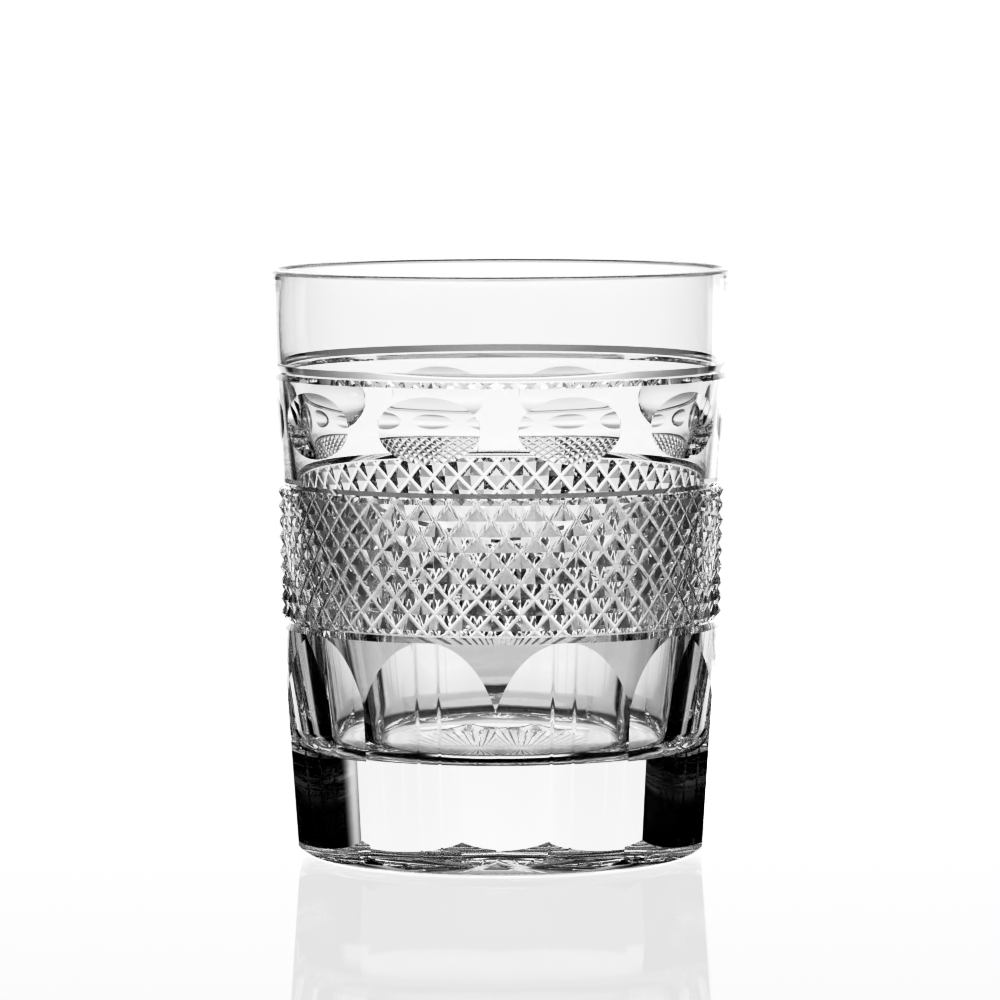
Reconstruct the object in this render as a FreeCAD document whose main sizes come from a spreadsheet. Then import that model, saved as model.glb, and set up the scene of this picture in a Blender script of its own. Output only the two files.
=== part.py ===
"""A cut crystal whiskey tumbler: one heavy blown blank with every pattern ground into it.

The origin is the middle of the underside, +Z is up and the drinking rim is at the top.
Every size is in millimetres, and every angle is in degrees.
"""
import FreeCAD, Part
import math
import os

import Sketcher
from FreeCAD import Placement, Rotation, Vector

NODE = "tumbler_glass"

# The driving dimensions: cell name, value, and what it measures.
SIZES = [
    # The outside of the blank, from the foot to the rim.
    ("foot_radius", 31.4, "flat that the tumbler stands on"),
    ("heel_radius", 37.4, "side of the blank where the rounded heel ends"),
    ("heel_height", 6.0, "height where the rounded heel ends"),
    ("heel_round", 6.0, "radius of the rounded heel"),
    ("barrel_radius", 37.9, "side of the blank at the top of the panels"),
    ("barrel_height", 39.8, "height of that place"),
    ("barrel_round", 270.0, "radius of the barrel's bulge, seen from the side"),
    ("band_low_radius", 38.3, "blank at the foot of the diamond band"),
    ("band_low_height", 42.2, "height of that place"),
    ("band_high_radius", 38.6, "blank at the top of the diamond band"),
    ("band_high_height", 63.1, "height of that place"),
    ("waist_radius", 38.5, "blank above the middle ring"),
    ("waist_height", 65.0, "height of that place"),
    ("shoulder_radius", 39.7, "blank at the upper ring"),
    ("shoulder_height", 84.0, "height of that place"),
    ("collar_round", 157.0, "radius of the curve from the shoulder into the upright collar"),
    ("rim_radius", 40.0, "outside of the upright collar"),
    ("collar_height", 93.5, "height where the collar is upright"),
    ("lip_height", 100.6, "height where the fire-polished lip begins to round over"),
    ("lip_round", 0.8, "radius of the lip"),
    # The inside of the blank, from the rim to the floor.
    ("lip_inner_radius", 38.4, "inside of the wall under the lip"),
    ("throat_radius", 38.08, "inside of the wall at the foot of the thin collar"),
    ("throat_height", 91.5, "height of that place"),
    ("bend_radius", 37.48, "inside of the wall where the heavy body begins"),
    ("bend_height", 82.6, "height of that place"),
    ("bend_round", 137.0, "radius of the soft bend between the collar and the body"),
    ("well_radius", 28.4, "inside of the wall where the floor's corner begins"),
    ("well_height", 22.5, "height of that place"),
    ("well_round", 606.0, "radius of the long hollow curve of the inside wall"),
    ("floor_radius", 24.0, "edge of the floor inside its rounded corner"),
    ("floor_height", 18.7, "height of that edge"),
    ("floor_corner", 4.6, "radius of the corner between wall and floor"),
    ("floor_middle", 18.2, "height of the floor on the axis"),
    # The three rings ground round the wall: each is a V with a narrow flat bottom.
    ("upper_ring_height", 83.9, "middle of the upper ring"),
    ("upper_ring_radius", 39.05, "bottom of the upper ring"),
    ("upper_ring_half", 1.1, "half the width of the upper ring at the blank's side"),
    ("upper_ring_depth", 0.65, "depth of the upper ring"),
    ("middle_ring_height", 64.1, "middle of the middle ring"),
    ("middle_ring_radius", 37.5, "bottom of the middle ring"),
    ("middle_ring_half", 0.9, "half the width of the middle ring"),
    ("middle_ring_depth", 1.0, "depth of the middle ring"),
    ("lower_ring_height", 41.0, "middle of the lower ring"),
    ("lower_ring_radius", 37.1, "bottom of the lower ring"),
    ("lower_ring_half", 1.2, "half the width of the lower ring"),
    ("lower_ring_depth", 0.95, "depth of the lower ring"),
    ("ring_flat", 0.3, "width of the flat bottom of each ring"),
    ("ring_reach", 2.5, "how far each ring's cutter stands out from its bottom"),
    # The tall panels ground round the foot.
    ("panel_count", 10, "number of panels, and of olives"),
    ("panel_low_radius", 34.4, "distance from the axis to a panel at the ground"),
    ("panel_bend_radius", 36.15, "distance from the axis to a panel where it starts to curve out"),
    ("panel_bend_height", 26.0, "height of that place"),
    ("panel_high_radius", 37.93, "distance from the axis to a panel at its top"),
    ("panel_top", 40.2, "height of a panel's top, inside the lower ring"),
    ("panel_round", 124.0, "radius of the panel's curve, seen from the side"),
    ("panel_turn", -1.5, "angle that the panels are turned from the setting-out mark"),
    ("panel_width", 32.0, "width of the panel cutter"),
    ("cutter_radius", 46.0, "outer side of every cutter"),
    ("cutter_drop", -2.0, "height of the panel cutter's lower end"),
    # The olives: lens-shaped cuts made by the rounded rim of an upright-axled wheel.
    ("olive_height", 74.9, "height of an olive's middle"),
    ("olive_floor", 37.8, "distance from the axis to the bottom of an olive"),
    ("olive_round", 12.6, "radius of the wheel's rounded rim"),
    ("olive_axle", 187.8, "distance from the axis to the wheel's axle"),
    ("olive_turn", -0.4, "angle that the olives are turned from the setting-out mark"),
    # The diamond band: two sets of slanting mitre cuts that leave small pyramids.
    ("diamond_count", 48, "number of diamonds round the band"),
    ("diamond_rows", 8, "half-diamonds from the foot of the band to its top"),
    ("diamond_low", 42.0, "height of the lowest crossings"),
    ("diamond_high", 63.1, "height of the highest crossings"),
    ("tip_low_radius", 38.0, "pyramid tips at the foot of the band"),
    ("tip_high_radius", 38.4, "pyramid tips at the top of the band"),
    ("mitre_depth", 1.2, "depth of the mitre cuts"),
    ("diamond_turn", 1.2, "angle that the crossings are turned from the setting-out mark"),
    # The star ground into the underside.
    ("star_count", 48, "number of rays"),
    ("star_inner", 1.5, "distance from the axis to a ray's inner end"),
    ("star_middle", 22.0, "distance from the axis to a ray's broadest place"),
    ("star_outer", 25.5, "distance from the axis to a ray's outer end"),
    ("star_half", 0.5, "half the width of a ray at its broadest place"),
    ("star_depth", 0.2, "depth of a ray at its broadest place"),
]

# Places that follow from the sizes above, worked out on the sheet itself.
WORKED_OUT = []
RINGS = ("upper", "middle", "lower")
for ring in RINGS:
    height = f"{ring}_ring_height"
    flank = f"ring_reach * {ring}_ring_half / {ring}_ring_depth"
    WORKED_OUT += [
        (f"{ring}_flat_top", f"={height} + ring_flat / 2"),
        (f"{ring}_flat_foot", f"={height} - ring_flat / 2"),
        (f"{ring}_mouth_radius", f"={ring}_ring_radius + ring_reach"),
        (f"{ring}_mouth_top", f"={height} + ring_flat / 2 + {flank}"),
        (f"{ring}_mouth_foot", f"={height} - ring_flat / 2 - {flank}"),
    ]


def make_sheet(doc):
    """The spreadsheet that drives every size."""
    sheet = doc.addObject("Spreadsheet::Sheet", "Sizes")
    row = 1
    for name, value, note in SIZES:
        sheet.set(f"A{row}", name)
        sheet.set(f"B{row}", str(value))
        sheet.set(f"C{row}", note)
        sheet.setAlias(f"B{row}", name)
        row += 1
    for name, formula in WORKED_OUT:
        sheet.set(f"A{row}", name)
        sheet.set(f"B{row}", formula)
        sheet.setAlias(f"B{row}", name)
        row += 1
    doc.recompute()
    return sheet


def origin_feature(body, role):
    """One of the body's own planes or axes, such as XZ_Plane or Z_Axis."""
    for feature in body.Origin.OriginFeatures:
        if feature.Role == role:
            return feature
    raise RuntimeError(f"the body has no {role}")


def pin_point(sketch, place, corner):
    """Fixes one end of a sketch edge at a corner: a pair of cell names, or None for zero."""
    geometry, end = place
    across, up = corner
    if across is None:
        sketch.addConstraint(Sketcher.Constraint("PointOnObject", geometry, end, -2))
    else:
        index = sketch.addConstraint(
            Sketcher.Constraint("DistanceX", -1, 1, geometry, end, sketch.getPoint(geometry, end).x)
        )
        sketch.setExpression(f"Constraints[{index}]", f"Sizes.{across}")
    if up is None:
        sketch.addConstraint(Sketcher.Constraint("PointOnObject", geometry, end, -1))
    else:
        index = sketch.addConstraint(
            Sketcher.Constraint("DistanceY", -1, 1, geometry, end, sketch.getPoint(geometry, end).y)
        )
        sketch.setExpression(f"Constraints[{index}]", f"Sizes.{up}")


def arc_between(start, stop, radius, bulge):
    """A short arc through two points. A bulge of 1 lies to the right of the way from start to stop."""
    chord = stop - start
    middle = (start + stop) * 0.5
    aside = Vector(chord.y, -chord.x, 0).normalize() * bulge
    rise = max(0.0, radius**2 - (chord.Length / 2) ** 2)
    sagitta = radius - math.sqrt(rise)
    return Part.Arc(start, middle + aside * sagitta, stop)


def edge_of_outline(sketch, sheet, start, stop, arc):
    """Adds one edge. arc is None for a straight edge, or the arc's radius cell and its bulge."""
    if arc is None:
        geometry = sketch.addGeometry(Part.LineSegment(start, stop))
    else:
        radius, bulge = arc
        geometry = sketch.addGeometry(arc_between(start, stop, float(sheet.get(radius)), bulge))
    first_gap = (sketch.getPoint(geometry, 1) - start).Length
    last_gap = (sketch.getPoint(geometry, 2) - start).Length
    return (geometry, 1, 2) if first_gap < last_gap else (geometry, 2, 1)


def pin_arc(sketch, sheet, geometry, up, radius):
    """Fixes an arc between two fixed ends: a half circle by its centre's height, others by radius."""
    span = (sketch.getPoint(geometry, 2) - sketch.getPoint(geometry, 1)).Length
    size = float(sheet.get(radius))
    if abs(span - 2 * size) < 0.001:
        rule = Sketcher.Constraint("DistanceY", -1, 1, geometry, 3, float(sheet.get(up)))
        cell = up
    else:
        rule = Sketcher.Constraint("Radius", geometry, size)
        cell = radius
    index = sketch.addConstraint(rule)
    sketch.setExpression(f"Constraints[{index}]", f"Sizes.{cell}")


def closed_sketch(body, sheet, name, plane, corners, arcs):
    """A closed outline in one of the body's planes. Each corner is a pair of cell names.

    arcs maps the corner that an arc starts from to its radius cell and the side it bulges to.
    """
    sketch = body.newObject("Sketcher::SketchObject", name)
    sketch.AttachmentSupport = [(origin_feature(body, plane), "")]
    sketch.MapMode = "FlatFace"
    points = []
    for across, up in corners:
        x = 0.0 if across is None else float(sheet.get(across))
        y = 0.0 if up is None else float(sheet.get(up))
        points.append(Vector(x, y, 0))
    following = points[1:] + points[:1]
    edges = []
    for i, (start, stop) in enumerate(zip(points, following)):
        edges.append(edge_of_outline(sketch, sheet, start, stop, arcs.get(i)))
    for i, (geometry, first, last) in enumerate(edges):
        next_geometry, next_first, _ = edges[(i + 1) % len(edges)]
        sketch.addConstraint(Sketcher.Constraint("Coincident", geometry, last, next_geometry, next_first))
        pin_point(sketch, (geometry, first), corners[i])
        if i in arcs:
            pin_arc(sketch, sheet, geometry, corners[i][1], arcs[i][0])
    return sketch


def turn_about_axis(sheet, cell):
    """A turn about a sketch's own upright axis, which is the tumbler's axis."""
    return Placement(Vector(), Rotation(Vector(0, 1, 0), float(sheet.get(cell))))


def make_blank(body, sheet):
    """The blown blank: thick foot, heavy body and thin upright collar."""
    corners = [
        (None, None),
        ("foot_radius", None),
        ("heel_radius", "heel_height"),
        ("barrel_radius", "barrel_height"),
        ("band_low_radius", "band_low_height"),
        ("band_high_radius", "band_high_height"),
        ("waist_radius", "waist_height"),
        ("shoulder_radius", "shoulder_height"),
        ("rim_radius", "collar_height"),
        ("rim_radius", "lip_height"),
        ("lip_inner_radius", "lip_height"),
        ("throat_radius", "throat_height"),
        ("bend_radius", "bend_height"),
        ("well_radius", "well_height"),
        ("floor_radius", "floor_height"),
        (None, "floor_middle"),
    ]
    arcs = {
        1: ("heel_round", 1),
        2: ("barrel_round", 1),
        7: ("collar_round", 1),
        9: ("lip_round", 1),
        11: ("bend_round", -1),
        12: ("well_round", -1),
        13: ("floor_corner", -1),
    }
    sketch = closed_sketch(body, sheet, "BlankOutline", "XZ_Plane", corners, arcs)
    blank = body.newObject("PartDesign::Revolution", "Blank")
    blank.Profile = sketch
    blank.ReferenceAxis = (sketch, ["V_Axis"])
    blank.Angle = 360
    return blank


def make_ring(body, sheet, ring):
    """One ring ground round the wall."""
    corners = [
        (f"{ring}_ring_radius", f"{ring}_flat_foot"),
        (f"{ring}_mouth_radius", f"{ring}_mouth_foot"),
        (f"{ring}_mouth_radius", f"{ring}_mouth_top"),
        (f"{ring}_ring_radius", f"{ring}_flat_top"),
    ]
    name = f"{ring.title()}Ring"
    sketch = closed_sketch(body, sheet, f"{name}Outline", "XZ_Plane", corners, {})
    groove = body.newObject("PartDesign::Groove", name)
    groove.Profile = sketch
    groove.ReferenceAxis = (sketch, ["V_Axis"])
    groove.Angle = 360
    return groove


def repeat_round(body, feature, name, count):
    """Repeats a cut round the tumbler's axis."""
    pattern = body.newObject("PartDesign::PolarPattern", name)
    pattern.Originals = [feature]
    pattern.Axis = (origin_feature(body, "Z_Axis"), [""])
    pattern.Angle = 360
    pattern.setExpression("Occurrences", f"Sizes.{count}")
    body.Tip = pattern
    return pattern


def make_panels(body, sheet):
    """The panels round the foot: flat and leaning in below, curving out at their tops."""
    corners = [
        ("panel_low_radius", None),
        ("panel_bend_radius", "panel_bend_height"),
        ("panel_high_radius", "panel_top"),
        ("cutter_radius", "panel_top"),
        ("cutter_radius", "cutter_drop"),
        ("panel_low_radius", "cutter_drop"),
    ]
    arcs = {1: ("panel_round", -1)}
    sketch = closed_sketch(body, sheet, "PanelOutline", "XZ_Plane", corners, arcs)
    sketch.AttachmentOffset = turn_about_axis(sheet, "panel_turn")
    panel = body.newObject("PartDesign::Pocket", "Panel")
    panel.Profile = sketch
    panel.Midplane = True
    panel.setExpression("Length", "Sizes.panel_width")
    body.Tip = panel
    return repeat_round(body, panel, "Panels", "panel_count")


def make_olives(body, sheet):
    """The olives between the upper and middle rings, each cut by a wheel with a rounded rim."""
    olive = body.newObject("PartDesign::SubtractiveTorus", "Olive")
    olive.AttachmentSupport = [(origin_feature(body, "XY_Plane"), "")]
    olive.MapMode = "FlatFace"
    turn = math.radians(float(sheet.get("olive_turn")))
    axle = float(sheet.get("olive_axle"))
    height = float(sheet.get("olive_height"))
    olive.AttachmentOffset.Base = Vector(axle * math.cos(turn), axle * math.sin(turn), height)
    olive.setExpression("Radius1", "Sizes.olive_axle - Sizes.olive_floor - Sizes.olive_round")
    olive.setExpression("Radius2", "Sizes.olive_round")
    body.Tip = olive
    return repeat_round(body, olive, "Olives", "panel_count")


def flat_face(*points):
    """A flat face with straight edges."""
    return Part.Face(Part.makePolygon(list(points) + [points[0]]))


def make_star_cutter(sheet):
    """The rays of the star: slender four-sided notches, deepest at their broadest place."""
    inner = float(sheet.get("star_inner"))
    outer = float(sheet.get("star_outer"))
    middle = float(sheet.get("star_middle"))
    half = float(sheet.get("star_half"))
    depth = float(sheet.get("star_depth"))
    outline = [Vector(inner, 0, 0), Vector(middle, -half, 0), Vector(outer, 0, 0), Vector(middle, half, 0)]
    faces = []
    for point, following in zip(outline, outline[1:] + outline[:1]):
        for height in (depth, -depth):
            faces.append(flat_face(point, following, Vector(middle, 0, height)))
    ray = Part.makeSolid(Part.makeShell(faces))
    if ray.Volume < 0:
        ray.reverse()
    count = int(sheet.get("star_count"))
    rays = []
    for step in range(count):
        turned = ray.copy()
        turned.rotate(Vector(), Vector(0, 0, 1), step * 360 / count)
        rays.append(turned)
    return Part.makeCompound(rays)


def lattice_point(sheet, column, row):
    """A corner of the diamond lattice: a crossing of two mitres, or a pyramid's tip."""
    count = int(sheet.get("diamond_count"))
    rows = int(sheet.get("diamond_rows"))
    low = float(sheet.get("diamond_low"))
    share = row / rows
    height = low + share * (float(sheet.get("diamond_high")) - low)
    tip_low = float(sheet.get("tip_low_radius"))
    radius = tip_low + share * (float(sheet.get("tip_high_radius")) - tip_low)
    if (column + row) % 2 == 0:
        radius -= float(sheet.get("mitre_depth"))
    angle = math.radians(float(sheet.get("diamond_turn")) + column * 180 / count - 90)
    return Vector(radius * math.cos(angle), radius * math.sin(angle), height)


def outward(point, radius):
    """The point at the same height and angle, at another distance from the axis."""
    scale = radius / math.hypot(point.x, point.y)
    return Vector(point.x * scale, point.y * scale, point.z)


def make_diamond_cutter(sheet):
    """Everything outside the pyramids of the diamond band, between the two ring cuts beside it.

    Each square of the lattice is folded along the mitre that joins its two crossings. The lattice
    has one more row at each end than the band, so the mitres run out into the rings.
    """
    columns = 2 * int(sheet.get("diamond_count"))
    rows = int(sheet.get("diamond_rows"))
    outer = float(sheet.get("cutter_radius"))
    faces = []
    for column in range(columns):
        for row in range(-1, rows + 1):
            here = lattice_point(sheet, column, row)
            beside = lattice_point(sheet, column + 1, row)
            above = lattice_point(sheet, column, row + 1)
            across = lattice_point(sheet, column + 1, row + 1)
            if (column + row) % 2 == 0:
                faces.append(flat_face(here, beside, across))
                faces.append(flat_face(here, across, above))
            else:
                faces.append(flat_face(here, beside, above))
                faces.append(flat_face(beside, across, above))
        rim = []
        for row in (-1, rows + 1):
            here = lattice_point(sheet, column, row)
            beside = lattice_point(sheet, column + 1, row)
            faces.append(flat_face(here, beside, outward(beside, outer), outward(here, outer)))
            rim += [outward(here, outer), outward(beside, outer)]
        faces.append(flat_face(rim[0], rim[1], rim[3], rim[2]))
    shell = Part.makeShell(faces)
    shell.sewShape()
    solid = Part.makeSolid(shell)
    if solid.Volume < 0:
        solid.reverse()
    low = float(sheet.get("lower_ring_height"))
    high = float(sheet.get("middle_ring_height"))
    slab = Part.makeCylinder(2 * outer, high - low, Vector(0, 0, low))
    return solid.common(slab)


def make_glass(doc, sheet):
    """The tumbler: the blank with every cut made in it."""
    body = doc.addObject("PartDesign::Body", "CutBlank")
    make_blank(body, sheet)
    for ring in RINGS:
        make_ring(body, sheet, ring)
    doc.recompute()
    make_panels(body, sheet)
    doc.recompute()
    make_olives(body, sheet)
    doc.recompute()
    shape = body
    for name, cutter_shape in (
        ("StarCut", make_star_cutter(sheet)),
        ("DiamondCut", make_diamond_cutter(sheet)),
    ):
        cutter = doc.addObject("Part::Feature", f"{name}ter")
        cutter.Shape = cutter_shape
        cut = doc.addObject("Part::Cut", name)
        cut.Base = shape
        cut.Tool = cutter
        shape = cut
    shape.Label = NODE
    shape.Placement = Placement()
    doc.recompute()
    return shape


def check_features(doc):
    """Stops if any object of the document failed, or if a cut removed nothing."""
    for item in doc.Objects:
        if "Invalid" in item.State or "Error" in item.State:
            raise RuntimeError(f"{item.Name} failed: {item.State}")
    before = doc.Blank.Shape.Volume
    for name in ("UpperRing", "MiddleRing", "LowerRing", "Panels", "Olives", "StarCut", "DiamondCut"):
        after = doc.getObject(name).Shape.Volume
        print(f"{name}: {before - after:.1f} cubic mm ground away")
        if after >= before:
            raise RuntimeError(f"{name} removed nothing")
        before = after


def export_part(part):
    """Checks one finished piece and writes its STEP file."""
    shape = part.Shape
    if shape.isNull() or not shape.isValid():
        raise RuntimeError(f"{part.Label} has no valid shape")
    if len(shape.Solids) != 1:
        raise RuntimeError(f"{part.Label} has {len(shape.Solids)} solids, not one")
    box = shape.BoundBox
    print(f"{part.Label}: {box.XLength:.2f} x {box.YLength:.2f} x {box.ZLength:.2f} mm,")
    print(f"  {shape.Volume / 1000:.1f} ml of glass, {len(shape.Faces)} faces")
    shape.exportStep(os.path.join("parts", f"{part.Label}.step"))


def main():
    """Builds the document and writes the part."""
    os.makedirs("parts", exist_ok=True)
    doc = FreeCAD.newDocument("WhiskeyTumbler")
    sheet = make_sheet(doc)
    glass = make_glass(doc, sheet)
    check_features(doc)
    export_part(glass)


main()
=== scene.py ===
"""The finished look of a cut crystal whiskey tumbler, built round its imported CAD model.

Sizes in the glass are in millimetres, as in its design, and become metres where the mesh is made.
Angles round the glass start at the front, which is -Y, and grow towards +X.
"""
import math

import bmesh
import bpy
import numpy as np
from mathutils import Euler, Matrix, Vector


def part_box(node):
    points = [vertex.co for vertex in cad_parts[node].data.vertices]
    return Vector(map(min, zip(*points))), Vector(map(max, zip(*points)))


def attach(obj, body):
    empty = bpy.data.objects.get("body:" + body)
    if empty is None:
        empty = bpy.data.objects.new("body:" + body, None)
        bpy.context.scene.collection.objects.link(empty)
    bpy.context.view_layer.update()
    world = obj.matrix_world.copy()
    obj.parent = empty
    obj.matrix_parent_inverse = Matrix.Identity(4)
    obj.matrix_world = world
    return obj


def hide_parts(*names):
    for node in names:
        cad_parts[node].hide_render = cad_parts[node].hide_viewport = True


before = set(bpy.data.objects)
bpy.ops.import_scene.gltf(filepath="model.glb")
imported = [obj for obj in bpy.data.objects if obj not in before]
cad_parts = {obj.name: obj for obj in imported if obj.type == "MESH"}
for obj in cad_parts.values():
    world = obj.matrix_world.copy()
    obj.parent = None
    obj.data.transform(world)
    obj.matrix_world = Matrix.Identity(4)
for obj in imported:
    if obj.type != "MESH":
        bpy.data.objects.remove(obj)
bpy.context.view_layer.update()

NODE = "tumbler_glass"
MM = 0.001
_, high_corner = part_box(NODE)
RIM_RADIUS = high_corner.x / MM
HEIGHT = high_corner.z / MM

# The outside of the blank, as (radius, height).
FOOT = (31.4, 0.0)
HEEL = (37.4, 6.0)
HEEL_ROUND = 6.0
BARREL = (37.9, 39.8)
BARREL_ROUND = 270.0
BAND_FOOT = (38.3, 42.2)
BAND_TOP = (38.6, 63.1)
WAIST = (38.5, 65.0)
SHOULDER = (39.7, 84.0)
COLLAR_ROUND = 157.0
COLLAR = (RIM_RADIUS, 93.5)
LIP_ROUND = 0.8
LIP = (RIM_RADIUS, HEIGHT - LIP_ROUND)

# The inside of the blank.
LIP_INSIDE = (38.4, LIP[1])
THROAT = (38.08, 91.5)
BEND = (37.48, 82.6)
BEND_ROUND = 137.0
WELL = (28.4, 22.5)
WELL_ROUND = 606.0
FLOOR_EDGE = (24.0, 18.7)
FLOOR_CORNER = 4.6
FLOOR_MIDDLE = (0.0, 18.2)
FLOOR_ROUND = 576.25

# The rings: height of the middle, radius of the bottom, half width, depth.
UPPER_RING = (83.9, 39.05, 1.1, 0.65)
MIDDLE_RING = (64.1, 37.5, 0.9, 1.0)
LOWER_RING = (41.0, 37.1, 1.2, 0.95)
RING_FLAT = 0.3

# Panels, olives, diamonds and the star, with the angles that each row is turned by.
PANELS = 10
PANEL_LOW = (34.4, 0.0)
PANEL_BEND = (36.15, 26.0)
PANEL_HIGH = (37.93, 40.2)
PANEL_ROUND = 124.0
PANEL_TURN = -1.5
OLIVE_HEIGHT = 74.9
OLIVE_FLOOR = 37.8
OLIVE_ROUND = 12.6
OLIVE_AXLE = 187.8
OLIVE_HALF_ANGLE = 13.5
OLIVE_TURN = -0.4
DIAMONDS = 48
DIAMOND_ROWS = 8
DIAMOND_LOW = 42.0
DIAMOND_HIGH = 63.1
TIP_LOW = 38.0
TIP_HIGH = 38.4
MITRE_DEPTH = 1.1
MITRE_ROUND = 0.1
DIAMOND_TURN = 1.2
RAYS = 48
RAY_INNER = 1.5
RAY_MIDDLE = 22.0
RAY_OUTER = 25.5
RAY_HALF = 0.5
RAY_DEPTH = 0.2

# The grid that the glass is built on: columns round it, and columns in each part of a pattern.
COLUMNS = 480
STEP = 360.0 / COLUMNS
PER_SQUARE = COLUMNS // (2 * DIAMONDS)
PER_PANEL = COLUMNS // PANELS
PER_RAY = COLUMNS // RAYS
AROUND = np.arange(COLUMNS) * STEP

# Columns across half a ray, the share of a panel's columns that an olive takes, and rows up each zone.
RAY_COLUMNS = 3
OLIVE_SHARE = 0.75
HEEL_ROWS = 5
ARCH_ROWS = 4
WALL_ROWS = 4
OLIVE_ROWS = 14
COLLAR_ROWS = 5
LIP_ROWS = 16
LIP_INSIDE_ROWS = 3

# Two surfaces are looked for this far from a ring, an olive or a panel's foot, where they can meet.
RING_SEARCH = 3.0
OLIVE_SEARCH = OLIVE_ROUND * 0.6
HEEL_SEARCH = 12.0
BARREL_SEARCH = 2.0
HALVINGS = 40

# Points closer than this become one vertex, in millimetres. Anything less than HAIR counts as nothing.
WELD = 1e-5
HAIR = 1e-6

# Folds between a pyramid's facets, in degrees. The folds of a mitre's rounded bottom lie between them.
FACET_FOLDS = (15.0, 27.0)
STEEP_FOLD = 42.0

SURFACES = ("inside", "collar", "wall", "olive", "ring", "diamond", "panel", "star")
FLAT_CUTS = ("star",)

# Each surface's unevenness: how far it goes in metres, how fine its waves are, and how rough it is.
# Fire-polished surfaces are wavy and clear; the wheel leaves finer marks and a trace of grain.
FINISHES = {
    "inside": (2.0e-6, 45.0, 0.0),
    "collar": (2.0e-6, 45.0, 0.0),
    "wall": (2.0e-6, 45.0, 0.0),
    "olive": (1.0e-6, 150.0, 0.004),
    "ring": (1.0e-6, 150.0, 0.004),
    "diamond": (1.0e-6, 300.0, 0.006),
    "panel": (1.0e-6, 90.0, 0.002),
    "star": (1.5e-6, 400.0, 0.02),
}
CRYSTAL_INDEX = 1.54
GRAIN_SHOWS = (0.35, 0.75)

# The table top: how far it lies under the foot, how far it reaches, its light and its shine.
FLOOR_DROP = 0.0002
FLOOR_REACH = 3.0
FLOOR_GLOW = 0.82
FLOOR_MIRROR = 0.14
FLOOR_BLUR = 0.03

# The studio's brightness at some elevations, in degrees: behind the glass, on the card and behind
# the camera. The spreads are the angles away from the backdrop's middle where each one fades.
BACKDROP = [
    (-42.0, 0.0), (-36.0, 0.45), (-16.0, 0.55), (-12.5, 0.95), (-9.0, 1.15), (-3.0, 1.08),
    (2.0, 0.88), (7.0, 0.82), (10.0, 0.6), (14.0, 0.36), (30.0, 0.28), (42.0, 0.0),
]
BACKDROP_SPREAD = (28.0, 34.0)
SIDE_CARD = [(-13.0, 0.0), (-9.0, 1.0), (6.0, 1.0), (10.0, 0.0)]
SIDE_CARD_SPREAD = (30.0, 36.0, 48.0, 51.0)
BEHIND_CAMERA = [(-32.0, 1.0), (-20.0, 0.0), (25.0, 0.0), (48.0, 1.0)]
BEHIND_SPREAD = (80.0, 105.0)
MIRROR_GAIN = 1.6
PAGE_WHITE = 1.2

CAMERA_PLACE = (0.0, -1.18, 0.1492)
CAMERA_SENSOR = 36.0
CAMERA_LENS = 246.8
CAMERA_SHIFT = -0.001
CAMERA_DOWN = 4.26
CAMERA_ROLL = -0.17

CONTRAST = [(0.12, 0.055), (0.32, 0.235), (0.6, 0.68), (0.9, 0.91)]
COMBINED_CURVE = 3
LIGHT_BOUNCES = 32


def points_at(radius, height, angle=AROUND):
    """One row of points round the glass, from arrays or single values in millimetres and degrees."""
    turn = np.radians(angle)
    x, y, z = np.broadcast_arrays(radius * np.sin(turn), -radius * np.cos(turn), height)
    return np.stack([x, y, z], axis=1)


def arc_centre(start, stop, radius, side):
    """The centre of an arc between two (radius, height) points. Side 1 is left of the way."""
    (x0, z0), (x1, z1) = start, stop
    span = math.hypot(x1 - x0, z1 - z0)
    back = math.sqrt(max(0.0, radius**2 - (span / 2) ** 2))
    return (
        (x0 + x1) / 2 - side * back * (z1 - z0) / span,
        (z0 + z1) / 2 + side * back * (x1 - x0) / span,
    )


def arc_points(start, stop, radius, side, count):
    """Points along an arc, without its first one. Side says where the centre is."""
    centre_x, centre_z = arc_centre(start, stop, radius, side)
    first = math.atan2(start[1] - centre_z, start[0] - centre_x)
    last = math.atan2(stop[1] - centre_z, stop[0] - centre_x)
    sweep = (last - first + math.pi) % (2 * math.pi) - math.pi
    if abs(abs(sweep) - math.pi) < HAIR:
        sweep = side * math.pi
    angles = [first + sweep * k / count for k in range(1, count + 1)]
    return [(centre_x + radius * math.cos(a), centre_z + radius * math.sin(a)) for a in angles]


def arc_radius(height, start, stop, radius):
    """Distance from the axis, at some heights, of an outward arc between two points of the wall."""
    centre_x, centre_z = arc_centre(start, stop, radius, 1)
    return centre_x + np.sqrt(np.maximum(0.0, radius**2 - (height - centre_z) ** 2))


def blank_radius(height):
    """The outside of the blank before anything is cut into it."""
    corners = [BARREL, BAND_FOOT, BAND_TOP, WAIST, SHOULDER, COLLAR]
    straight = np.interp(height, [z for _, z in corners], [r for r, _ in corners])
    heel = arc_radius(height, FOOT, HEEL, HEEL_ROUND)
    barrel = arc_radius(height, HEEL, BARREL, BARREL_ROUND)
    collar = arc_radius(height, SHOULDER, COLLAR, COLLAR_ROUND)
    height = np.asarray(height)
    choices = [heel, barrel, straight, collar]
    return np.select([height < HEEL[1], height < BARREL[1], height < SHOULDER[1], True], choices)


def ring_radius(height, ring):
    """The V of a ring, with its narrow flat bottom."""
    middle, bottom, half, depth = ring
    aside = np.maximum(np.abs(height - middle) - RING_FLAT / 2, 0.0)
    return bottom + aside * depth / half


def from_middle(angle, turn):
    """Degrees from the middle of the nearest panel or olive."""
    pitch = 360.0 / PANELS
    return (angle - turn) % pitch - pitch / 2


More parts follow.
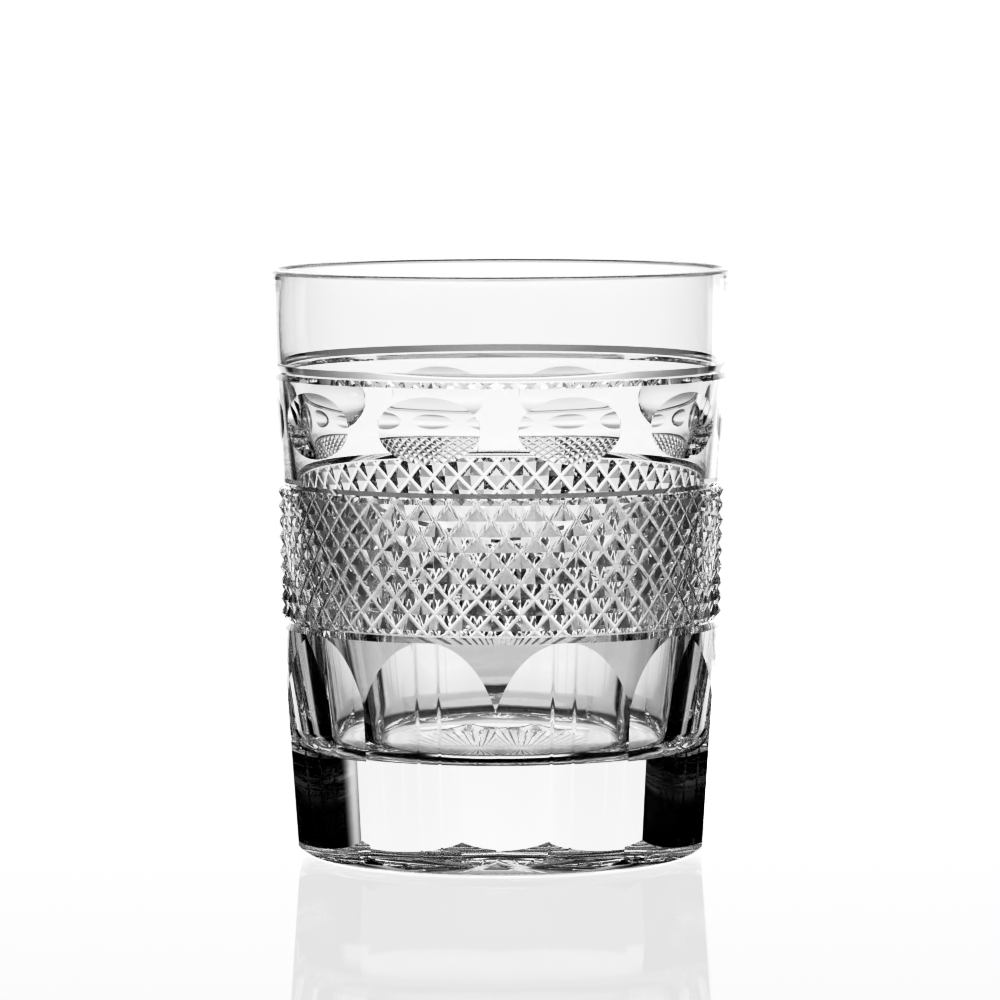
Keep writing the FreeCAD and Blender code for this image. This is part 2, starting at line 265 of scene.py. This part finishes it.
def panel_radius(height, angle):
    """The panels: flat and leaning in towards the ground, but curving out at their tops."""
    centre_x, centre_z = arc_centre(PANEL_BEND, PANEL_HIGH, PANEL_ROUND, -1)
    curved = centre_x - np.sqrt(np.maximum(0.0, PANEL_ROUND**2 - (height - centre_z) ** 2))
    lean = (PANEL_BEND[0] - PANEL_LOW[0]) / (PANEL_BEND[1] - PANEL_LOW[1])
    leaning = PANEL_LOW[0] + height * lean
    flat = np.where(height < PANEL_BEND[1], leaning, curved)
    return flat / np.cos(np.radians(from_middle(angle, PANEL_TURN)))


def olive_radius(height, angle):
    """The olives: each is cut by a wheel on an upright axle, whose rim is rounded."""
    aside = np.radians(from_middle(angle, OLIVE_TURN))
    rim = np.sqrt(np.maximum(0.0, OLIVE_ROUND**2 - (height - OLIVE_HEIGHT) ** 2))
    reach = OLIVE_AXLE - OLIVE_FLOOR - OLIVE_ROUND + rim
    return OLIVE_AXLE * np.cos(aside) - np.sqrt(reach**2 - (OLIVE_AXLE * np.sin(aside)) ** 2)


def crossing(cut, keep, low, high):
    """The height where two surfaces meet, between a low end where cut is the smaller and a high end."""
    low, high = np.broadcast_arrays(low, high)
    low, high = low.astype(float), high.astype(float)
    for _ in range(HALVINGS):
        middle = (low + high) / 2
        deeper = cut(middle) < keep(middle)
        low = np.where(deeper, middle, low)
        high = np.where(deeper, high, middle)
    return (low + high) / 2


def blend(first, last, share):
    """Part of the way from one value to another."""
    return first + share * (last - first)


class Grid:
    """The rows of the glass, from the middle of the underside, up the outside and down the inside."""

    def __init__(self):
        self.rows = []
        self.crisp_rows = []
        self.crisp_columns = []
        self.kinds = []

    def add(self, points, kind, crisp=False, crisp_below=None):
        """One more row. kind names the surface between it and the row before.

        crisp says where the row is a sharp edge, and crisp_below which columns of the surface
        before it are.
        """
        self.rows.append(points)
        self.kinds.append(kind)
        self.crisp_rows.append(np.broadcast_to(crisp, COLUMNS))
        below = False if crisp_below is None else crisp_below
        self.crisp_columns.append(np.broadcast_to(below, COLUMNS))


def star_row(radius, half, depth):
    """A row of the underside at the middle of its rays: half is a ray's half width there."""
    inside = RAY_COLUMNS
    pitch = 360.0 / RAYS
    local = np.arange(PER_RAY)
    edge = math.degrees(math.atan2(half, radius)) if radius else 0.0
    gap = blend(edge, pitch - edge, (local - inside) / (PER_RAY - 2 * inside))
    rising = edge * local / inside
    falling = pitch - edge * (PER_RAY - local) / inside
    angle = np.select([local <= inside, local < PER_RAY - inside], [rising, gap], falling)
    from_ray = np.minimum(local, PER_RAY - local)
    height = depth * np.maximum(0.0, 1 - from_ray / inside)
    turn = np.minimum(angle, pitch - angle)
    reach = radius / np.cos(np.radians(np.minimum(turn, edge)))
    whole = angle + pitch * np.arange(RAYS)[:, None]
    return points_at(np.tile(reach, RAYS), np.tile(height, RAYS), whole.ravel())


def add_underside(grid):
    """The flat foot with its star."""
    grid.add(points_at(0.0, 0.0), "star")
    grid.add(star_row(RAY_INNER, 0.0, 0.0), "star")
    grid.add(star_row(RAY_MIDDLE, RAY_HALF, RAY_DEPTH), "star")
    grid.add(star_row(RAY_OUTER, 0.0, 0.0), "star")
    grid.add(points_at(*FOOT), "star", crisp=True)


def add_panels(grid):
    """The rounded heel, the ten panels and what is left of the barrel between their arches."""
    def panel(height):
        return panel_radius(height, AROUND)

    lip = crossing(
        lambda z: np.minimum(blank_radius(z), panel(z)),
        lambda z: ring_radius(z, LOWER_RING),
        BARREL[1] - BARREL_SEARCH,
        LOWER_RING[0] - RING_FLAT / 2,
    )
    arch = crossing(panel, blank_radius, HEEL_SEARCH, lip)
    arch = np.where(panel(lip) < blank_radius(lip), lip, arch)
    foot = crossing(blank_radius, panel, 0.0, HEEL_SEARCH)
    corner = np.abs(np.abs(from_middle(AROUND, PANEL_TURN)) - 180.0 / PANELS) < STEP / 2
    for k in range(1, HEEL_ROWS + 1):
        height = foot * k / HEEL_ROWS
        grid.add(points_at(blank_radius(height), height), "panel", crisp=k == HEEL_ROWS)
    grid.add(points_at(panel(arch), arch), "panel", crisp=arch < lip, crisp_below=corner)
    for k in range(1, ARCH_ROWS + 1):
        height = blend(arch, lip, k / ARCH_ROWS)
        radius = np.minimum(blank_radius(height), panel(height))
        grid.add(points_at(radius, height), "panel", crisp=k == ARCH_ROWS)
    for side in (-1, 1):
        grid.add(points_at(LOWER_RING[1], LOWER_RING[0] + side * RING_FLAT / 2), "ring", crisp=True)


def lattice_corner(column, row, lowered=False):
    """A corner of the diamond lattice: a crossing of two mitres, or a pyramid's tip."""
    share = row / DIAMOND_ROWS
    radius = blend(TIP_LOW, TIP_HIGH, share)
    if lowered or (column + row) % 2 == 0:
        radius -= MITRE_DEPTH
    angle = math.radians(DIAMOND_TURN + column * 180.0 / DIAMONDS)
    height = blend(DIAMOND_LOW, DIAMOND_HIGH, share)
    return np.array([radius * math.sin(angle), -radius * math.cos(angle), height])


def half_square(node, tip, lowered_tip, far_node, along, up):
    """A point on one half of a lattice square, between its mitre and its pyramid's tip.

    The mitre runs from node to far_node. Its bottom is one step wide on each side, and is lowest in
    the middle.
    """
    flat = 1.0 / PER_SQUARE
    if along - up <= flat + HAIR:
        point = node + along * (lowered_tip - node) + up * (far_node - lowered_tip)
        sunk = MITRE_ROUND * (1 - (along - up) / flat)
        point[:2] *= 1 - sunk / math.hypot(point[0], point[1])
        return point
    near = node + flat * (lowered_tip - node)
    far = lowered_tip + (1 - flat) * (far_node - lowered_tip)
    return near + (along - flat) / (1 - flat) * (tip - near) + up / (1 - flat) * (far - tip)


def square_point(column, row, along, up):
    """A point of one lattice square, at shares of its width and height."""
    near, far = (column, column + 1) if (column + row) % 2 == 0 else (column + 1, column)
    if near > far:
        along = 1 - along
    node = lattice_corner(near, row)
    across = lattice_corner(far, row + 1)
    if along >= up:
        tip, lowered = lattice_corner(far, row), lattice_corner(far, row, True)
        return half_square(node, tip, lowered, across, along, up)
    tip, lowered = lattice_corner(near, row + 1), lattice_corner(near, row + 1, True)
    return half_square(node, tip, lowered, across, up, along)


def diamond_rows():
    """All rows of the diamond band, with half a diamond more at each end than the band has."""
    rows = []
    for step in range(-PER_SQUARE, (DIAMOND_ROWS + 1) * PER_SQUARE + 1):
        row = min(step // PER_SQUARE, DIAMOND_ROWS)
        up = step / PER_SQUARE - row
        pair = [
            square_point(k // PER_SQUARE, row, (k % PER_SQUARE) / PER_SQUARE, up)
            for k in range(2 * PER_SQUARE)
        ]
        points = []
        for turn in range(DIAMONDS):
            angle = math.radians(turn * 360.0 / DIAMONDS)
            cosine, sine = math.cos(angle), math.sin(angle)
            points += [(x * cosine - y * sine, x * sine + y * cosine, z) for x, y, z in pair]
        shift = round(DIAMOND_TURN / STEP)
        rows.append(np.roll(np.array(points), shift, axis=0))
    return rows


def past_flank(points, ring, side):
    """How far points of the band stand out of a ring's flank, or have gone past its foot."""
    proud = np.hypot(points[:, 0], points[:, 1]) - ring_radius(points[:, 2], ring)
    beyond = side * (points[:, 2] - ring[0]) + RING_FLAT / 2
    return np.maximum(proud, beyond)


def clip_rows(rows, ring, side):
    """Ends every column where it meets the flank of a ring. rows run from the band's middle out."""
    done = np.zeros(COLUMNS, bool)
    clipped = [rows[0]]
    for inner, outer in zip(rows, rows[1:]):
        before = past_flank(inner, ring, side)
        after = past_flank(outer, ring, side)
        share = np.clip(before / np.where(before == after, 1.0, before - after), 0.0, 1.0)
        meet = inner + share[:, None] * (outer - inner)
        now = (after > 0) & ~done
        point = np.where(done[:, None], clipped[-1], np.where(now[:, None], meet, outer))
        clipped.append(point)
        done |= now
        if done.all():
            return clipped
    raise RuntimeError("the diamond band doesn't reach its ring")


def add_diamonds(grid):
    """The band of small pyramids between the lower and the middle ring."""
    rows = diamond_rows()
    middle = len(rows) // 2
    lower = clip_rows(rows[middle::-1], LOWER_RING, -1)
    upper = clip_rows(rows[middle:], MIDDLE_RING, 1)
    band = lower[:0:-1] + upper
    for i, points in enumerate(band):
        kind = "ring" if i == 0 else "diamond"
        grid.add(points, kind, crisp=i in (0, len(band) - 1))
    for side in (-1, 1):
        grid.add(points_at(MIDDLE_RING[1], MIDDLE_RING[0] + side * RING_FLAT / 2), "ring", crisp=True)


def ring_lip(ring, side):
    """The height where a ring's flank meets the blank, above it or below it."""
    def flank(height):
        return ring_radius(height, ring)

    edge = ring[0] + side * RING_FLAT / 2
    outside = ring[0] + side * RING_SEARCH
    return float(crossing(flank, blank_radius, edge, outside))


def olive_angles():
    """Column angles that crowd towards the ends of each olive and run evenly between olives."""
    inside = round(PER_PANEL * OLIVE_SHARE)
    outside = PER_PANEL - inside
    pitch = 360.0 / PANELS
    local = np.arange(PER_PANEL)
    share = (local - outside / 2) / inside
    crowded = -OLIVE_HALF_ANGLE * np.cos(np.pi * np.clip(share, 0.0, 1.0))
    gap = pitch / 2 - OLIVE_HALF_ANGLE
    before = blend(-pitch / 2, -OLIVE_HALF_ANGLE, local / (outside / 2))
    after = blend(OLIVE_HALF_ANGLE, OLIVE_HALF_ANGLE + gap, (share - 1) * inside / (outside / 2))
    angle = np.select([share < 0, share > 1], [before, after], crowded)
    whole = angle + pitch / 2 + pitch * np.arange(PANELS)[:, None] + OLIVE_TURN
    return np.roll(whole.ravel(), round(OLIVE_TURN / STEP))


def add_olives(grid):
    """The wall between the middle and the upper ring, with its olives."""
    angles = olive_angles()
    offset = (angles - AROUND + 180.0) % 360.0 - 180.0

    def olive(height):
        return olive_radius(height, angles)

    cut = olive(OLIVE_HEIGHT) < blank_radius(OLIVE_HEIGHT) - HAIR
    top = crossing(olive, blank_radius, OLIVE_HEIGHT, OLIVE_HEIGHT + OLIVE_SEARCH)
    low = crossing(olive, blank_radius, OLIVE_HEIGHT, OLIVE_HEIGHT - OLIVE_SEARCH)
    top = np.where(cut, top, OLIVE_HEIGHT)
    low = np.where(cut, low, OLIVE_HEIGHT)
    lip = ring_lip(MIDDLE_RING, 1)
    grid.add(points_at(blank_radius(lip), lip), "ring", crisp=True)
    for k in range(1, WALL_ROWS + 1):
        height = blend(lip, low, k / WALL_ROWS)
        points = points_at(blank_radius(height), height, AROUND + offset * k / WALL_ROWS)
        grid.add(points, "wall", crisp=cut & (k == WALL_ROWS))
    for k in range(1, OLIVE_ROWS + 1):
        height = blend(low, top, k / OLIVE_ROWS)
        radius = np.minimum(olive(height), blank_radius(height))
        grid.add(points_at(radius, height, angles), "olive", crisp=cut & (k == OLIVE_ROWS))
    lip = ring_lip(UPPER_RING, -1)
    for k in range(1, WALL_ROWS + 1):
        height = blend(top, lip, k / WALL_ROWS)
        points = points_at(blank_radius(height), height, AROUND + offset * (1 - k / WALL_ROWS))
        grid.add(points, "wall", crisp=k == WALL_ROWS)


def add_collar(grid):
    """The upper ring, the plain collar and the rounded lip."""
    for side in (-1, 1):
        grid.add(points_at(UPPER_RING[1], UPPER_RING[0] + side * RING_FLAT / 2), "ring", crisp=True)
    lip = ring_lip(UPPER_RING, 1)
    grid.add(points_at(blank_radius(lip), lip), "ring", crisp=True)
    for k in range(1, COLLAR_ROWS + 1):
        height = blend(lip, COLLAR[1], k / COLLAR_ROWS)
        grid.add(points_at(blank_radius(height), height), "collar")
    grid.add(points_at(*LIP), "collar")
    for radius, height in arc_points(LIP, LIP_INSIDE, LIP_ROUND, 1, LIP_ROWS):
        grid.add(points_at(radius, height), "collar")


def add_inside(grid):
    """The inside wall, its rounded corner and the floor."""
    for k in range(1, LIP_INSIDE_ROWS + 1):
        share = k / LIP_INSIDE_ROWS
        radius = blend(LIP_INSIDE[0], THROAT[0], share)
        grid.add(points_at(radius, blend(LIP_INSIDE[1], THROAT[1], share)), "inside")
    curves = [
        (THROAT, BEND, BEND_ROUND, 6),
        (BEND, WELL, WELL_ROUND, 16),
        (WELL, FLOOR_EDGE, FLOOR_CORNER, 10),
        (FLOOR_EDGE, FLOOR_MIDDLE, FLOOR_ROUND, 6),
    ]
    for start, stop, radius, count in curves:
        for across, height in arc_points(start, stop, radius, -1, count):
            grid.add(points_at(across, height), "inside")


def edge_keys(first, last, count):
    """One number for each edge between two vertices, whichever way round."""
    return np.minimum(first, last) * count + np.maximum(first, last)


def build_mesh(grid, name):
    """A closed mesh from the grid's rows. Points in the same place become one vertex."""
    points = np.concatenate(grid.rows) * MM
    keys = np.round(points / (MM * WELD)).astype(np.int64)
    _, chosen, index = np.unique(keys, axis=0, return_index=True, return_inverse=True)
    index = index.reshape(len(grid.rows), COLUMNS)
    points = points[chosen]
    reach = np.hypot(points[:, 0], points[:, 1]).tolist()
    faces, materials, smooth, crisp = [], [], [], []
    count = len(chosen)
    for j in range(1, len(grid.rows)):
        low, high = index[j - 1], index[j]
        slot = SURFACES.index(grid.kinds[j])
        is_flat = grid.kinds[j] in FLAT_CUTS
        quads = np.stack([low, np.roll(low, -1), np.roll(high, -1), high], axis=1)
        for i, quad in enumerate(quads.tolist()):
            corners = [v for k, v in enumerate(quad) if v != quad[k - 1]]
            if len(set(corners)) < 3:
                continue
            if grid.kinds[j] == "diamond" and len(corners) == 4:
                pieces = split_quad(corners, [reach[v] for v in corners])
            else:
                pieces = [corners]
            faces += pieces
            materials += [slot] * len(pieces)
            smooth += [not is_flat] * len(pieces)
        row = grid.crisp_rows[j]
        crisp.append(edge_keys(high, np.roll(high, -1), count)[row & np.roll(row, -1)])
        crisp.append(edge_keys(low, high, count)[grid.crisp_columns[j]])
    mesh = bpy.data.meshes.new(name)
    mesh.from_pydata(points.tolist(), [], faces)
    mesh.polygons.foreach_set("material_index", materials)
    mesh.polygons.foreach_set("use_smooth", smooth)
    ends = np.zeros(len(mesh.edges) * 2, np.int64)
    mesh.edges.foreach_get("vertices", ends)
    ends = ends.reshape(-1, 2)
    sharp = np.isin(edge_keys(ends[:, 0], ends[:, 1], count), np.concatenate(crisp))
    attribute = mesh.attributes.new("sharp_edge", "BOOLEAN", "EDGE")
    attribute.data.foreach_set("value", sharp)
    mesh.update()
    sharpen_pyramids(mesh)
    return mesh


def sharpen_pyramids(mesh):
    """Keeps the pyramids' facets flat, and rounds only the bottoms of the mitres between them."""
    slot = SURFACES.index("diamond")
    work = bmesh.new()
    work.from_mesh(mesh)
    for edge in work.edges:
        if len(edge.link_faces) == 2 and all(f.material_index == slot for f in edge.link_faces):
            fold = math.degrees(edge.calc_face_angle())
            if FACET_FOLDS[0] < fold < FACET_FOLDS[1] or fold > STEEP_FOLD:
                edge.smooth = False
    work.to_mesh(mesh)
    work.free()


def split_quad(corners, reach):
    """Folds a quad of the diamond band along its lower diagonal, which is how the mitres run."""
    a, b, c, d = corners
    if reach[0] + reach[2] < reach[1] + reach[3]:
        return [[a, b, c], [a, c, d]]
    return [[a, b, d], [b, c, d]]


def make_tumbler():
    """The glass as one closed mesh."""
    grid = Grid()
    add_underside(grid)
    add_panels(grid)
    add_diamonds(grid)
    add_olives(grid)
    add_collar(grid)
    add_inside(grid)
    piece = bpy.data.objects.new("tumbler_crystal", build_mesh(grid, "tumbler_crystal"))
    bpy.context.scene.collection.objects.link(piece)
    return piece


def glass_material(name, height, waves, grain):
    """Clear lead crystal, faintly uneven, with a trace of roughness that comes and goes."""
    material = bpy.data.materials.new(name)
    material.use_nodes = True
    nodes = material.node_tree.nodes
    links = material.node_tree.links
    shader = nodes["Principled BSDF"]
    shader.inputs["Base Color"].default_value = (1.0, 1.0, 1.0, 1.0)
    shader.inputs["Roughness"].default_value = 0.0
    shader.inputs["IOR"].default_value = CRYSTAL_INDEX
    shader.inputs["Transmission Weight"].default_value = 1.0
    where = nodes.new("ShaderNodeTexCoord")
    swell = nodes.new("ShaderNodeTexNoise")
    swell.inputs["Scale"].default_value = waves
    swell.inputs["Detail"].default_value = 2.0
    links.new(where.outputs["Object"], swell.inputs["Vector"])
    bump = nodes.new("ShaderNodeBump")
    bump.inputs["Strength"].default_value = 1.0
    bump.inputs["Distance"].default_value = height
    links.new(swell.outputs["Fac"], bump.inputs["Height"])
    links.new(bump.outputs["Normal"], shader.inputs["Normal"])
    if grain > 0:
        cloud = nodes.new("ShaderNodeTexNoise")
        cloud.inputs["Scale"].default_value = waves * 2
        cloud.inputs["Detail"].default_value = 4.0
        links.new(where.outputs["Object"], cloud.inputs["Vector"])
        spread = nodes.new("ShaderNodeMapRange")
        spread.inputs["From Min"].default_value = GRAIN_SHOWS[0]
        spread.inputs["From Max"].default_value = GRAIN_SHOWS[1]
        spread.inputs["To Min"].default_value = 0.0
        spread.inputs["To Max"].default_value = grain
        links.new(cloud.outputs["Fac"], spread.inputs["Value"])
        links.new(spread.outputs["Result"], shader.inputs["Roughness"])
    return material


def make_floor():
    """A glossy white table top, a hair below the glass's foot. Only the camera sees it.

    Rays that have met the glass pass it by, and see the lower part of the studio instead.
    """
    corners = [(-1, -1), (1, -1), (1, 1), (-1, 1)]
    points = [(x * FLOOR_REACH, y * FLOOR_REACH, -FLOOR_DROP) for x, y in corners]
    mesh = bpy.data.meshes.new("floor")
    mesh.from_pydata(points, [], [(0, 1, 2, 3)])
    floor = bpy.data.objects.new("floor", mesh)
    bpy.context.scene.collection.objects.link(floor)
    material = bpy.data.materials.new("white_acrylic")
    material.use_nodes = True
    nodes = material.node_tree.nodes
    links = material.node_tree.links
    nodes.clear()
    glow = nodes.new("ShaderNodeEmission")
    glow.inputs["Strength"].default_value = FLOOR_GLOW
    mirror = nodes.new("ShaderNodeBsdfGlossy")
    mirror.inputs["Color"].default_value = (1.0, 1.0, 1.0, 1.0)
    mirror.inputs["Roughness"].default_value = FLOOR_BLUR
    mix = nodes.new("ShaderNodeMixShader")
    mix.inputs["Fac"].default_value = FLOOR_MIRROR
    links.new(glow.outputs[0], mix.inputs[1])
    links.new(mirror.outputs[0], mix.inputs[2])
    output = nodes.new("ShaderNodeOutputMaterial")
    links.new(mix.outputs[0], output.inputs["Surface"])
    mesh.materials.append(material)
    floor.visible_transmission = False
    floor.visible_glossy = False
    floor.visible_shadow = False


class WorldNodes:
    """Short ways to add nodes to the world."""

    def __init__(self, tree):
        self.nodes = tree.nodes
        self.links = tree.links
        self.nodes.clear()

    def value(self, operation, *inputs):
        """A math node's result. Numbers are set on its sockets, and anything else is linked."""
        node = self.nodes.new("ShaderNodeMath")
        node.operation = operation
        for socket, value in zip(node.inputs, inputs):
            if isinstance(value, float):
                socket.default_value = value
            else:
                self.links.new(value, socket)
        return node.outputs[0]

    def steps(self, elevation, levels):
        """Brightness that runs through (elevation, brightness) levels, from straight down to up."""
        node = self.nodes.new("ShaderNodeValToRGB")
        share = self.value("MULTIPLY_ADD", elevation, 1.0 / math.pi, 0.5)
        self.links.new(share, node.inputs["Fac"])
        elements = node.color_ramp.elements
        elements.remove(elements[1])
        elements[0].position = levels[0][0] / 180 + 0.5
        for height, _ in levels[1:]:
            elements.new(height / 180 + 0.5)
        for element, (_, level) in zip(elements, levels):
            element.color = (level, level, level, 1.0)
        return node.outputs["Color"]

    def fade(self, turn, start, stop, first, last):
        """A soft step from first to last between two angles."""
        node = self.nodes.new("ShaderNodeMapRange")
        node.interpolation_type = "SMOOTHSTEP"
        self.links.new(turn, node.inputs["Value"])
        node.inputs["From Min"].default_value = math.radians(start)
        node.inputs["From Max"].default_value = math.radians(stop)
        node.inputs["To Min"].default_value = first
        node.inputs["To Max"].default_value = last
        return node.outputs["Result"]


def make_world():
    """A dark studio with a lit backdrop, a card beside it, and light high and low behind the camera.

    Reflections are brighter than what shows through the glass, and the camera sees plain white.
    """
    world = bpy.data.worlds.new("studio")
    bpy.context.scene.world = world
    world.use_nodes = True
    add = WorldNodes(world.node_tree)
    place = add.nodes.new("ShaderNodeTexCoord")
    split = add.nodes.new("ShaderNodeSeparateXYZ")
    add.links.new(place.outputs["Generated"], split.inputs[0])
    elevation = add.value("ARCSINE", split.outputs["Z"])
    signed = add.value("ARCTAN2", split.outputs["X"], split.outputs["Y"])
    turn = add.value("ABSOLUTE", signed)
    ahead = add.fade(turn, *BACKDROP_SPREAD, 1.0, 0.0)
    backdrop = add.value("MULTIPLY", add.steps(elevation, BACKDROP), ahead)
    astern = add.fade(turn, *BEHIND_SPREAD, 0.0, 1.0)
    behind = add.value("MULTIPLY", add.steps(elevation, BEHIND_CAMERA), astern)
    near, full, fading, out = SIDE_CARD_SPREAD
    starts = add.fade(signed, near, full, 0.0, 1.0)
    ends = add.fade(signed, fading, out, 1.0, 0.0)
    card = add.value("MULTIPLY", starts, ends)
    card = add.value("MULTIPLY", card, add.steps(elevation, SIDE_CARD))
    studio = add.value("ADD", add.value("ADD", backdrop, behind), card)
    path = add.nodes.new("ShaderNodeLightPath")
    through = path.outputs["Is Transmission Ray"]
    mirrored = add.value("SUBTRACT", path.outputs["Is Glossy Ray"], through)
    mirrored = add.value("MAXIMUM", mirrored, 0.0)
    studio = add.value("MULTIPLY", studio, add.value("MULTIPLY_ADD", mirrored, MIRROR_GAIN, 1.0))
    page = add.value("MULTIPLY", path.outputs["Is Camera Ray"], PAGE_WHITE)
    seen = add.value("MAXIMUM", studio, page)
    background = add.nodes.new("ShaderNodeBackground")
    background.inputs["Color"].default_value = (1.0, 1.0, 1.0, 1.0)
    add.links.new(seen, background.inputs["Strength"])
    output = add.nodes.new("ShaderNodeOutputWorld")
    add.links.new(background.outputs[0], output.inputs["Surface"])


def make_camera():
    """A long lens in front of the glass, a little above its rim and looking slightly down."""
    data = bpy.data.cameras.new("camera")
    data.sensor_width = CAMERA_SENSOR
    data.lens = CAMERA_LENS
    data.shift_x = CAMERA_SHIFT
    camera = bpy.data.objects.new("camera", data)
    camera.location = CAMERA_PLACE
    camera.rotation_mode = "XYZ"
    look = Euler((math.radians(90 - CAMERA_DOWN), 0.0, 0.0)).to_matrix()
    spin = Euler((0.0, 0.0, math.radians(CAMERA_ROLL))).to_matrix()
    camera.rotation_euler = (look @ spin).to_euler()
    bpy.context.scene.collection.objects.link(camera)
    bpy.context.scene.camera = camera


def add_contrast(settings):
    """A crisp product-photograph contrast: deeper greys and brighter lights."""
    settings.use_curve_mapping = True
    curve = settings.curve_mapping.curves[COMBINED_CURVE]
    for level, shown in CONTRAST:
        curve.points.new(level, shown)
    settings.curve_mapping.update()


tumbler = make_tumbler()
for surface in SURFACES:
    tumbler.data.materials.append(glass_material(f"crystal_{surface}", *FINISHES[surface]))
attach(tumbler, "root")
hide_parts(NODE)

make_floor()
make_world()
make_camera()
scene = bpy.context.scene
scene.view_settings.view_transform = "Standard"
add_contrast(scene.view_settings)
scene.cycles.max_bounces = LIGHT_BOUNCES
scene.cycles.transmission_bounces = LIGHT_BOUNCES
scene.cycles.glossy_bounces = LIGHT_BOUNCES
